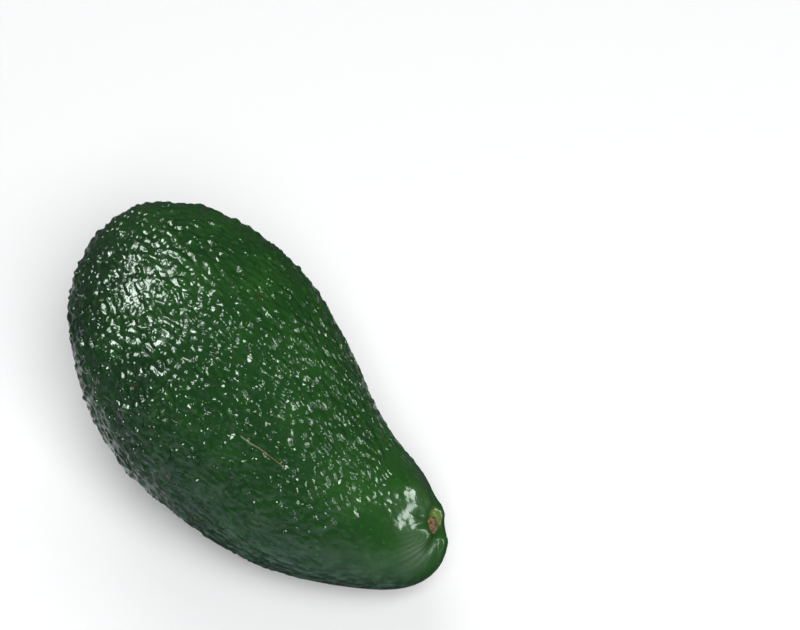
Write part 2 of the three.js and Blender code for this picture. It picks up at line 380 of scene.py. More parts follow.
@dataclass(frozen=True)
class StalkHollow:
    """The hollow that the stalk grew from, on the inner side of the neck, with puckered lips.

    Folds and creases run out from it, a groove rings the stalk, and a painted grey sheen lies round it in
    streaks, standing for a reflection. A sway is how far, in radians, and how many times in a turn the
    creases or streaks bend.
    """

    pear: PearForm
    station: float = 0.87
    turn: float = 50.0
    mouth_azimuth: float = 43.0
    mouth_elevation: float = 38.0
    radius: float = 3.3
    depth: float = 2.0
    steepness: float = 3.0
    reach: float = 14.0
    lip_radius: float = 6.0
    lip_width: float = 2.6
    lip_height: float = 0.1
    folds: int = 4
    fold_turn: float = 15.5
    fold_depth: float = 0.75
    creases: int = 13
    crease_sways: tuple[tuple[float, int], ...] = ((1.6, 3), (0.8, 1))
    crease_depth: float = 0.16
    crease_radius: float = 7.5
    crease_width: float = 3.2
    groove_radius: float = 2.8
    groove_width: float = 0.5
    groove_depth: float = 0.4
    # A grey sheen painted round the mouth, standing for a reflection: its turn, spread, ring and least
    # share.
    painted_sheen_turn: float = 163.0
    painted_sheen_spread: float = 0.5
    painted_sheen_radius: float = 9.4
    painted_sheen_width: float = 2.9
    painted_sheen_least: float = 0.12
    streaks: int = 41
    streak_share: float = 0.38
    streak_sway: tuple[float, int] = (2.0, 5)
    streak_slant: float = 0.5
    swells: tuple[NeckSwell, ...] = (
        NeckSwell(4.1, 10.8, 3.0, 3.6, 54.0, 1.42),
        NeckSwell(-5.9, -8.7, 2.9, 4.2, -30.0, 0.53),
        NeckSwell(9.8, -1.9, 2.9, 7.5, 41.0, -0.48),
        NeckSwell(5.1, 12.8, 1.6, 4.5, 21.0, 0.32),
        NeckSwell(-4.8, 9.9, 1.8, 1.8, 115.0, -0.26),
    )
    swell_clearance: float = 3.6
    swell_sharpness: float = 3.0

    def seat(self) -> np.ndarray:
        """The middle of the hollow's mouth, on the bare pear."""
        return self.pear.places(ball_point(self.station, self.turn))

    def axes(self) -> np.ndarray:
        """Finds the mouth's directions.

        Returns:
            Its side, top and outward directions, as rows.
        """
        out = self.pear.lean_over(bearing(self.mouth_azimuth, self.mouth_elevation))
        side = unit(np.cross(UP, out))
        return np.stack([side, np.cross(out, side), out])

    def local(self, places: np.ndarray) -> np.ndarray:
        """Places as seen from the mouth: to its side, over it and along its direction."""
        return (places - self.seat()) @ self.axes().T

    def distance(self, places: np.ndarray) -> np.ndarray:
        """How far places lie from the mouth's axis."""
        return np.linalg.norm(self.local(places)[:, :2], axis=1)

    def around(self, places: np.ndarray) -> np.ndarray:
        """How far round the mouth's axis places lie, in radians."""
        spot = self.local(places)
        return np.arctan2(spot[:, 1], spot[:, 0])

    def painted_sheen(self, places: np.ndarray) -> np.ndarray:
        """Gives how much painted sheen lies round the mouth: most on its side and underneath.

        Args:
            places: points on the pear as it lies.

        Returns:
            An amount between 0 and 1 for each place.
        """
        distance, turn = self.distance(places), self.around(places)
        sway, bends = self.streak_sway
        bent = self.streaks * turn + sway * np.sin(bends * turn) + self.streak_slant * distance
        streaks = 1.0 - self.streak_share + self.streak_share * np.cos(bent)
        off = np.angle(np.exp(1j * (turn - math.radians(self.painted_sheen_turn))))
        share = self.painted_sheen_least + (1.0 - self.painted_sheen_least) * bell(off, self.painted_sheen_spread)
        return bell(distance - self.painted_sheen_radius, self.painted_sheen_width) * streaks * share

    def swell_heights(self, places: np.ndarray) -> np.ndarray:
        """Adds up the neck's swells and dents, which fade out inside the hollow.

        Args:
            places: points on the pear as it lies.

        Returns:
            The height at each place, outwards from the skin.
        """
        spot = self.local(places)
        total = sum(swell.heights(spot[:, 0], spot[:, 1]) for swell in self.swells)
        inside = np.exp(-((self.distance(places) / self.swell_clearance) ** self.swell_sharpness))
        return total * (1.0 - inside)

    def carve(self, places: np.ndarray) -> np.ndarray:
        """Sinks the hollow into the pear and raises its lips.

        Args:
            places: points on the pear as it lies.

        Returns:
            The points moved along the mouth's direction.
        """
        distance, turn = self.distance(places), self.around(places)
        reach = np.clip(self.local(places)[:, 2] / self.reach + 1.0, 0.0, 1.0)
        reach = reach * reach * (3.0 - 2.0 * reach)
        fold = -np.cos(self.folds * (turn - math.radians(self.fold_turn)))
        lips = bell(distance - self.lip_radius, self.lip_width) * (self.lip_height + self.fold_depth * fold)
        bent = self.creases * turn + sum(sway * np.sin(bends * turn) for sway, bends in self.crease_sways)
        creases = self.crease_depth * np.cos(bent) * bell(distance - self.crease_radius, self.crease_width)
        groove = self.groove_depth * bell(distance - self.groove_radius, self.groove_width)
        bowl = self.depth * np.exp(-((distance / self.radius) ** self.steepness))
        return places + (reach * (lips + creases - bowl - groove))[:, None] * self.axes()[2]


class PebbleKind(Enum):
    """The forms that a pebble of the skin takes."""

    DOME = "dome"
    CRATER = "crater"
    RIDGE = "ridge"


@dataclass(frozen=True)
class PebbleField:
    """The skin's pebbles: seeded, evenly scattered over the pear, each with its own form.

    The gaps between them are widest at the blossom end and closest on the neck. They stand full at the
    blossom end, less on the belly, and hardly at all on the smooth skin by the stalk.
    """

    pear: PearForm
    seed: int = 41
    count: int = 4300
    spacing: float = 2.55
    gap: Rise = Rise(-0.15, -6.0, 0.88, 1.2)
    # Several times as many points are drawn, thinned to an even cover, and pushed apart in rounds.
    draws: int = 5
    spread_rounds: int = 14
    spread_share: float = 0.3
    spread_neighbours: int = 9
    # A pebble's height and width are drawn from a range, and its turn about the way round the fruit.
    height: float = 0.84
    tallness: tuple[float, float] = (0.22, 1.05)
    widths: tuple[float, float] = (0.62, 1.08)
    lengths: tuple[float, float] = (0.85, 1.35)
    turn_spread: float = 0.3
    dome_power: float = 1.5
    # How many of them are ridges, long and narrow, and how many have a crater in the top.
    ridge_share: float = 0.44
    ridge_length: float = 2.6
    ridge_width: float = 0.74
    crater_share: float = 0.16
    crater_depth: float = 0.45
    crater_width: float = 0.35
    # How many pebbles a point feels, how sharply they merge, and how the warp bends them.
    neighbours: int = 7
    merging: float = 3.0
    warp: float = 0.32
    warp_wavelength: float = 6.0
    # How tall they stand along the fruit.
    neck: Rise = Rise(0.64, -22.0)
    neck_share: float = 0.08
    blossom: Rise = Rise(-0.3, -6.0, 0.86, 1.0)
    slim: Rise = Rise(0.1, -9.0, 0.58, 1.0)

    def stretch(self, balls: np.ndarray) -> np.ndarray:
        """How much longer the pear is than the ball along each axis at each point."""
        radius = self.pear.section_radius(balls[:, 0])
        return np.stack([np.full(len(balls), self.pear.half_length), radius, radius], axis=-1)

    def gaps(self, station: np.ndarray) -> np.ndarray:
        """How far apart the pebbles lie."""
        return self.spacing * self.gap.at(station)

    def scatter(self, random: np.random.Generator) -> np.ndarray:
        """Draws points that lie evenly over the pear's skin, more thinly where the gaps are wide.

        Args:
            random: the seeded generator.

        Returns:
            Points of the unit ball.
        """
        balls = unit(random.normal(size=(self.draws * self.count, 3)))
        long, wide, _ = self.stretch(balls).T
        station = balls[:, 0]
        area = wide * np.hypot(long * np.sqrt(1.0 - station**2), wide * station)
        share = area / self.gaps(station) ** 2
        kept = random.uniform(size=len(balls)) < share / share.max()
        return balls[kept][: self.count]

    def near(self, centres: np.ndarray, spots: np.ndarray, count: int) -> np.ndarray:
        """Finds the pebbles nearest to each spot.

        Args:
            centres: the pebbles' middles.
            spots: the places to look from.
            count: how many pebbles to find for each.

        Returns:
            The pebbles' numbers, nearest first, a row for each spot.
        """
        tree = kdtree.KDTree(len(centres))
        for number, centre in enumerate(centres):
            tree.insert(centre, number)
        tree.balance()
        return np.array([[hit[1] for hit in tree.find_n(spot, count)] for spot in spots])

    def centres(self, random: np.random.Generator) -> np.ndarray:
        """Scatters the pebbles and pushes near ones apart.

        Args:
            random: the seeded generator.

        Returns:
            The pebbles' middles, as points of the unit ball.
        """
        balls = self.scatter(random)
        for _ in range(self.spread_rounds):
            places = self.pear.upright(balls)
            offset = places[:, None] - places[self.near(places, places, self.spread_neighbours)[:, 1:]]
            gap = np.linalg.norm(offset, axis=-1, keepdims=True)
            wanted = self.gaps(balls[:, 0])[:, None]
            push = (offset / gap * np.clip(1.0 - gap / wanted[:, None], 0.0, 1.0)).sum(axis=1)
            balls = unit(balls + self.spread_share * wanted * push / self.stretch(balls))
        return balls

    def kinds(self, random: np.random.Generator) -> np.ndarray:
        """Draws each pebble's kind.

        Args:
            random: the seeded generator.

        Returns:
            A kind for each pebble.
        """
        draw = random.uniform(size=self.count)
        others = np.where(draw < self.ridge_share + self.crater_share, PebbleKind.CRATER, PebbleKind.DOME)
        return np.where(draw < self.ridge_share, PebbleKind.RIDGE, others)

    def warped(self, places: np.ndarray) -> np.ndarray:
        """Places moved a little to and fro, so that no pebble is a plain oval."""
        waves = [WaveNoise(self.warp_wavelength, self.seed + i).heights(places) for i in range(3)]
        return places + self.warp * np.stack(waves, axis=-1)

    def relief(self, balls: np.ndarray) -> np.ndarray:
        """Gives the pebbles' relief at each ball point.

        Args:
            balls: points of the unit ball.

        Returns:
            Heights from 0 in the valleys to about 1 on the tallest pebbles.
        """
        random = np.random.default_rng(self.seed)
        middles = self.centres(random)
        centres, stretch = self.pear.upright(middles), self.stretch(middles)
        kinds = self.kinds(random)
        tall = random.uniform(*self.tallness, self.count)
        size = 0.5 * self.gaps(middles[:, 0]) * random.uniform(*self.widths, self.count)
        turn = random.normal(0.0, self.turn_spread, (self.count, 1))
        ridge = kinds == PebbleKind.RIDGE
        width = size * np.where(ridge, self.ridge_width, 1.0)
        length = width * np.where(ridge, self.ridge_length, random.uniform(*self.lengths, self.count))
        dent = np.where(kinds == PebbleKind.CRATER, self.crater_depth, 0.0)
        east = unit(np.cross(middles, [1.0, 0.0, 0.0]))
        east, north = unit(east * stretch), unit(np.cross(east, middles) * stretch)
        across = (np.cos(turn) * east + np.sin(turn) * north) / width[:, None]
        along = (np.cos(turn) * north - np.sin(turn) * east) / length[:, None]
        spots = self.warped(self.pear.upright(balls))
        total = np.zeros(len(balls))
        for pick in self.near(centres, spots, self.neighbours).T:
            offset = spots - centres[pick]
            distance = np.hypot(*(np.einsum("ij,ij->i", offset, way[pick]) for way in (across, along)))
            dome = np.maximum(0.0, 1.0 - distance**2) ** self.dome_power
            dome *= tall[pick] * (1.0 - dent[pick] * bell(distance, self.crater_width))
            total += dome**self.merging
        return total ** (1.0 / self.merging)

    def share(self, station: np.ndarray) -> np.ndarray:
        """How tall the pebbles stand."""
        neck = self.neck_share + (1.0 - self.neck_share) * self.neck.at(station)
        return neck * self.blossom.at(station) * self.slim.at(station)


class SkinMark(Enum):
    """What the skin's mesh tells its material at each point, as an amount."""

    RELIEF = "relief"
    COLLAR = "collar"
    DULL = "dull"
    FINE = "fine"
    PACKED = "packed"
    FRESH_AND_LIT = "fresh_and_lit"
    BLOOM = "painted_sheen"
    RIPPLED = "rippled"
    SHADED = "shaded"


class CellChance(Enum):
    """The random numbers of a cell pattern's cell, which Blender gives as the parts of a colour."""

    FIRST = "Red"
    SECOND = "Green"
    THIRD = "Blue"


@dataclass(frozen=True)
class SpeckKind:
    """Round specks, one to a cell: their colour and spacing, and the radii where one starts and is full.

    One of the cell's random numbers says how strongly each shows, between the two limits.
    """

    colour: str
    spacing: float
    edge: float
    core: float
    chance: CellChance
    shown: tuple[float, float]


@dataclass(frozen=True)
class GrainLayer:
    """Relief too fine for the mesh, by noise: its grain and height, and the mark that says how much of it.

    Drawn out means that the grain runs along the fruit.
    """

    grain: Grain
    height: float
    mark: SkinMark | None = None
    drawn_out: bool = False


@dataclass(frozen=True)
class Scratch:
    """Where the healed scratch lies: its two ends, and the skin's outward direction between them."""

    start: np.ndarray
    stop: np.ndarray
    out: np.ndarray


@dataclass(frozen=True)
class WaxySkinFinish:
    """The skin of an unripe green avocado: living plant skin with its own natural wax, as picked.

    The wax gives the eye small, sharp glints on every pebble over a deep green that lets little light
    back. Breathing pores show as fine pale dots, rubbed pebbles as cork-brown specks, and the skin
    turns yellow-green where the stalk grew out. A painted grey sheen lies round the stalk and in streaks
    underneath, with painted shade in the furrows, and painted light lightens the upper flank.
    """

    deep_green: str = "#0d2c12"
    # The green of fresher skin, also used for the painted light on the upper flank.
    fresh_and_lit_green: str = "#214a19"
    collar_green: str = "#667a35"
    # A grey sheen painted round the stalk, standing for a reflection, and how strongly.
    painted_sheen_grey: str = "#72806e"
    painted_sheen_share: float = 0.42
    # Painted sheen on the shaded side: grey streaks along the fruit that stand for a reflection, with
    # painted shade in the deep green furrows between.
    painted_streaks_grey: str = "#677f75"
    painted_furrow_shade: str = "#0a2212"
    painted_streaks_share: float = 0.52
    painted_streaks_grain: Grain = Grain(1.9, 3.0, 0.55)
    painted_streaks_edges: tuple[float, float] = (0.42, 0.66)
    # Fresher green in patches, and a lighter green the higher a pebble stands, so the valleys stay darker.
    mottle: Grain = Grain(16.0, 4.0, 0.6)
    mottle_edges: tuple[float, float] = (0.35, 0.75)
    mottle_share: float = 0.45
    top_edges: tuple[float, float] = (0.3, 1.1)
    # The pores, and the cork of rubbed pebbles. A pore is about 0.2 mm wide, which is too fine to show, so
    # it is drawn wider.
    specks: tuple[SpeckKind, ...] = (
        SpeckKind("#4d6a31", 2.0, 0.336, 0.08, CellChance.FIRST, (0.25, 0.95)),
        SpeckKind("#31361c", 12.3, 1.353, 0.369, CellChance.SECOND, (0.7, 1.0)),
    )
    # Pimples on and between the pebbles, full to a share of their radius. The pit in the top is a share
    # of their radius wide, and dips by a share of their height.
    pimple_spacing: float = 2.3
    pimple_height: float = 0.62
    pimple_radius: float = 1.0
    pimple_top: float = 0.3
    pimple_pit: float = 0.45
    pimple_dip: float = 0.45
    pimple_least: float = 0.35
    # Close-packed low domes, a little longer than wide. The steepness is height over spacing.
    dome_spacing: float = 1.9
    dome_steepness: float = 0.85
    dome_stretch: float = 0.68
    dome_blend: float = 0.3
    # Grit, wrinkles, ripples underneath, and the wax's own grain, which is finer than 0.1 mm on the
    # fruit and is drawn as coarse as it needs to show. The stretch draws them out along the fruit.
    grains: tuple[GrainLayer, ...] = (
        GrainLayer(Grain(1.1, 1.0, 0.4), 0.08, SkinMark.FINE),
        GrainLayer(Grain(0.8), 0.07, SkinMark.FINE, drawn_out=True),
        GrainLayer(Grain(1.9, 1.0, 0.4), 0.46, SkinMark.RIPPLED, drawn_out=True),
        GrainLayer(Grain(0.55, 3.0, 0.55), 0.014),
    )
    grain_stretch: float = 0.28
    lean: float = PearForm.lean
    # Plant wax has an IOR of about 1.45. It is smooth enough for clear glints, and the skin under it isn't.
    # It lies in thicker and thinner patches, with little of it where the skin is dull.
    ior: float = 1.45
    roughness: float = 0.34
    dull_roughness: float = 0.5
    base_gloss: float = 0.1
    flesh_bump: float = 0.45
    wax_roughness: float = 0.115
    wax_patch: Grain = Grain(4.0, 3.0)
    wax_edges: tuple[float, float] = (0.35, 0.65)
    wax_thin: float = 0.4
    wax_share: float = 0.84
    dull_wax: float = 0.12
    # The healed scratch runs between two places, each a station and a turn. It thins and browns on its
    # way, tapers off at both ends and wanders a little. Between two depths it fades out inwards, so that
    # it doesn't come through on the far side.
    scar_grey: str = "#5c6b57"
    scar_brown: str = "#6e4a3b"
    scar_from: tuple[float, float] = (0.134, 114.8)
    scar_to: tuple[float, float] = (0.343, 108.8)
    scar_width: float = 0.38
    scar_thinning: float = 0.55
    scar_edges: tuple[float, float] = (1.5, 0.6)
    scar_taper: float = 0.06
    scar_wander: Grain = Grain(6.25)
    scar_sway: float = 1.6
    scar_depths: tuple[float, float] = (-6.0, -4.0)

    def make(self, scar: Scratch) -> bpy.types.Material:
        """Builds the material.

        Args:
            scar: where the scratch lies.

        Returns:
            The finished material.
        """
        skin = Dressing("waxy_avocado_skin")
        marks = {mark: skin.add("Attribute", attribute_name=mark.value).outputs["Fac"] for mark in SkinMark}
        lying = skin.add("Mapping", {"Vector": skin.where, "Rotation": (0.0, math.radians(-self.lean), 0.0)})
        drawn = skin.add("Mapping", {"Vector": lying, "Scale": (self.grain_stretch, 1.0, 1.0)})
        colour = self.greens(skin, marks)
        for speck in self.specks:
            colour = self.speckle(skin, speck, colour)
        collar = [marks[SkinMark.COLLAR], colour, linear(self.collar_green)]
        colour = skin.add("Mix", collar, data_type="RGBA")
        # The painted sheen round the stalk.
        painted_sheen = skin.add("Math", [marks[SkinMark.BLOOM], self.painted_sheen_share], operation="MULTIPLY")
        colour = skin.add("Mix", [painted_sheen, colour, linear(self.painted_sheen_grey)], data_type="RGBA")
        # Painted sheen in grey streaks on the shaded side, with painted shade between.
        colour = self.painted_streaks(skin, drawn, marks[SkinMark.SHADED], colour)
        colour = self.scratch(skin, scar, colour)
        bump = self.domes(skin, lying, marks[SkinMark.PACKED], self.pimples(skin, marks[SkinMark.FINE]))
        for layer in self.grains:
            bump = self.grain(skin, layer, drawn, marks, bump)
        flat = skin.add("NewGeometry").outputs["Normal"]
        under = skin.add("Mix", [self.flesh_bump, flat, bump], data_type="VECTOR")
        dull = marks[SkinMark.DULL]
        look = {
            "Base Color": colour,
            "Roughness": skin.add("MapRange", [dull, 0.0, 1.0, self.roughness, self.dull_roughness]),
            "IOR": self.ior,
            "Normal": skin.add("VectorMath", [under], operation="NORMALIZE"),
            "Specular IOR Level": self.base_gloss,
            "Coat Weight": self.wax(skin, dull),
            "Coat Roughness": self.wax_roughness,
            "Coat IOR": self.ior,
            "Coat Normal": bump,
        }
        skin.add("OutputMaterial", [skin.add("BsdfPrincipled", look)])
        return skin.material

    def greens(self, skin: Dressing, marks: dict[SkinMark, Link]) -> Link:
        """Mixes the skin's greens: fresher patches on deep green, and a lighter green the higher a pebble
        stands.

        Args:
            skin: the material.
            marks: the skin's marks.

        Returns:
            The colour.
        """
        noise = skin.add("TexNoise", self.mottle.drawn_at(skin.where))
        patches = skin.add("MapRange", [noise, *self.mottle_edges], interpolation_type="SMOOTHSTEP")
        amount = [patches, self.mottle_share, marks[SkinMark.FRESH_AND_LIT]]
        amount = skin.add("Math", amount, operation="MULTIPLY_ADD", use_clamp=True)
        green = [amount, linear(self.deep_green), linear(self.fresh_and_lit_green)]
        green = skin.add("Mix", green, data_type="RGBA")
        top = [marks[SkinMark.RELIEF], *self.top_edges]
        top = skin.add("MapRange", top, interpolation_type="SMOOTHSTEP")
        return skin.add("Mix", [top, green, linear(self.fresh_and_lit_green)], data_type="RGBA")

    def speckle(self, skin: Dressing, speck: SpeckKind, colour: Link) -> Link:
        """Scatters specks over the skin, each fainter or stronger than its neighbours.

        Args:
            skin: the material.
            speck: the kind of speck.
            colour: the skin's colour so far.

        Returns:
            The colour with the specks.
        """
        cells = skin.add("TexVoronoi", {"Vector": skin.where, "Scale": 1.0 / (speck.spacing * MM)})
        dot = [cells, speck.edge / speck.spacing, speck.core / speck.spacing]
        dot = skin.add("MapRange", dot, interpolation_type="SMOOTHSTEP")
        chance = skin.add("SeparateColor", [cells.outputs["Color"]]).outputs[speck.chance.value]
        shown = skin.add("MapRange", [chance, *speck.shown], interpolation_type="SMOOTHSTEP")
        amount = skin.add("Math", [dot, shown], operation="MULTIPLY")
        return skin.add("Mix", [amount, colour, linear(speck.colour)], data_type="RGBA")

    def painted_streaks(self, skin: Dressing, drawn: Link, shaded: Link, colour: Link) -> Link:
        """Paints grey streaks of sheen on the shaded side, with painted shade in the furrows between.

        Args:
            skin: the material.
            drawn: the place on the skin, squeezed along the fruit.
            shaded: how much of the streaks there is.
            colour: the skin's colour so far.

        Returns:
            The colour with the streaks.
        """
        noise = skin.add("TexNoise", self.painted_streaks_grain.drawn_at(drawn))
        streak = skin.add("MapRange", [noise, *self.painted_streaks_edges], interpolation_type="SMOOTHSTEP")
        streaks = [streak, linear(self.painted_furrow_shade), linear(self.painted_streaks_grey)]
        streaks = skin.add("Mix", streaks, data_type="RGBA")
        amount = skin.add("Math", [shaded, self.painted_streaks_share], operation="MULTIPLY")
        return skin.add("Mix", [amount, colour, streaks], data_type="RGBA")

    def scratch(self, skin: Dressing, scar: Scratch, colour: Link) -> Link:
        """Draws a healed scratch that thins and browns along its way.

        Args:
            skin: the material.
            scar: where the scratch lies.
            colour: the skin's colour so far.

        Returns:
            The colour with the scratch.
        """
        length = float(np.linalg.norm(scar.stop - scar.start))
        way = (scar.stop - scar.start) / length
        noise = skin.add("TexNoise", self.scar_wander.drawn_at(skin.where)).outputs["Color"]
        sway = skin.add("VectorMath", [noise, NOISE_MIDDLE], operation="SUBTRACT")
        sway = skin.add("VectorMath", [sway, (self.scar_sway * MM,) * 3], operation="MULTIPLY")
        moved = skin.add("VectorMath", [skin.where, sway], operation="ADD")
        offset = skin.add("VectorMath", [moved, tuple(scar.start * MM)], operation="SUBTRACT")
        along, across, depth = (
            skin.add("VectorMath", [offset, tuple(axis)], operation="DOT_PRODUCT")
            for axis in (way, unit(np.cross(way, scar.out)), scar.out)
        )
        along = skin.add("MapRange", [along, 0.0, length * MM])
        half = 0.5 * self.scar_width * MM
        width = skin.add("Math", [along, -self.scar_thinning * half, half], operation="MULTIPLY_ADD")
        apart = skin.add("Math", [across], operation="ABSOLUTE")
        apart = skin.add("Math", [apart, width], operation="DIVIDE")
        deep, shallow = (limit * MM for limit in self.scar_depths)
        steps = [
            [apart, *self.scar_edges],
            [along, 0.0, self.scar_taper],
            [along, 1.0, 1.0 - self.scar_taper],
            [depth, deep, shallow],
        ]
        limits = [skin.add("MapRange", step, interpolation_type="SMOOTHSTEP") for step in steps]
        amount = limits[0]
        for limit in limits[1:]:
            amount = skin.add("Math", [amount, limit], operation="MULTIPLY")
        healed = skin.add("Mix", [along, linear(self.scar_grey), linear(self.scar_brown)], data_type="RGBA")
        return skin.add("Mix", [amount, colour, healed], data_type="RGBA")

    def pimples(self, skin: Dressing, fine: Link) -> Link:
        """Raises pimples too fine for the mesh, each with a pit in its top.

        Args:
            skin: the material.
            fine: how high they stand.

        Returns:
            The skin's direction over the pimples.
        """
        cells = skin.add("TexVoronoi", {"Vector": skin.where, "Scale": 1.0 / (self.pimple_spacing * MM)})
        reach = self.pimple_radius / self.pimple_spacing
        dome, pit = (
            skin.add("MapRange", [cells, *edges], interpolation_type="SMOOTHSTEP")
            for edges in ((reach, self.pimple_top * reach), (self.pimple_pit * reach, 0.0))
        )
        dome = skin.add("Math", [pit, -self.pimple_dip, dome], operation="MULTIPLY_ADD")
        chance = skin.add("SeparateColor", [cells.outputs["Color"]]).outputs[CellChance.THIRD.value]
        strength = [chance, 1.0 - self.pimple_least, self.pimple_least]
        strength = skin.add("Math", strength, operation="MULTIPLY_ADD")
        height = skin.add("Math", [dome, strength], operation="MULTIPLY")
        height = skin.add("Math", [height, fine], operation="MULTIPLY")
        bump = {"Strength": 1.0, "Distance": self.pimple_height * MM, "Height": height}
        return skin.add("Bump", bump)

    def domes(self, skin: Dressing, lying: Link, packed: Link, normal: Link) -> Link:
        """Covers the skin with close-packed low domes, each with a sharp valley round it.

        Args:
            skin: the material.
            lying: the place on the skin, with x along the fruit.
            packed: how steep the domes are.
            normal: the skin's direction so far.

        Returns:
            The skin's direction over the domes.
        """
        long = skin.add("Mapping", {"Vector": lying, "Scale": (self.dome_stretch, 1.0, 1.0)})
        pattern = {"Vector": long, "Scale": 1.0 / (self.dome_spacing * MM), "Smoothness": self.dome_blend}
        distance = skin.add("TexVoronoi", pattern, feature="SMOOTH_F1")
        height = distance
        for factor in (distance, packed, -1.0):
            height = skin.add("Math", [height, factor], operation="MULTIPLY")
        depth = self.dome_steepness * self.dome_spacing * MM
        return skin.add("Bump", {"Strength": 1.0, "Distance": depth, "Height": height, "Normal": normal})

    def grain(
        self, skin: Dressing, layer: GrainLayer, drawn: Link, marks: dict[SkinMark, Link], normal: Link
    ) -> Link:
        """Adds one layer of fine grain, which breaks the glints up.

        Args:
            skin: the material.
            layer: the grain.
            drawn: the place on the skin, squeezed along the fruit.
            marks: the skin's marks.
            normal: the skin's direction so far.

        Returns:
            The skin's direction over the grain.
        """
        height = skin.add("TexNoise", layer.grain.drawn_at(drawn if layer.drawn_out else skin.where))
        if layer.mark:
            height = skin.add("Math", [height, marks[layer.mark]], operation="MULTIPLY")
        bump = {"Strength": 1.0, "Distance": layer.height * MM, "Height": height, "Normal": normal}
        return skin.add("Bump", bump)

    def wax(self, skin: Dressing, dull: Link) -> Link:
        """Spreads the wax in thinner and thicker patches, with little of it where the skin is dull.

        Args:
            skin: the material.
            dull: how dull the skin is.

        Returns:
            How much of the light the wax mirrors.
        """
        noise = skin.add("TexNoise", self.wax_patch.drawn_at(skin.where))
        patches = skin.add("MapRange", [noise, *self.wax_edges, self.wax_thin, self.wax_share])
        left = skin.add("MapRange", [dull, 0.0, 1.0, 1.0, self.dull_wax])
        return skin.add("Math", [patches, left], operation="MULTIPLY")


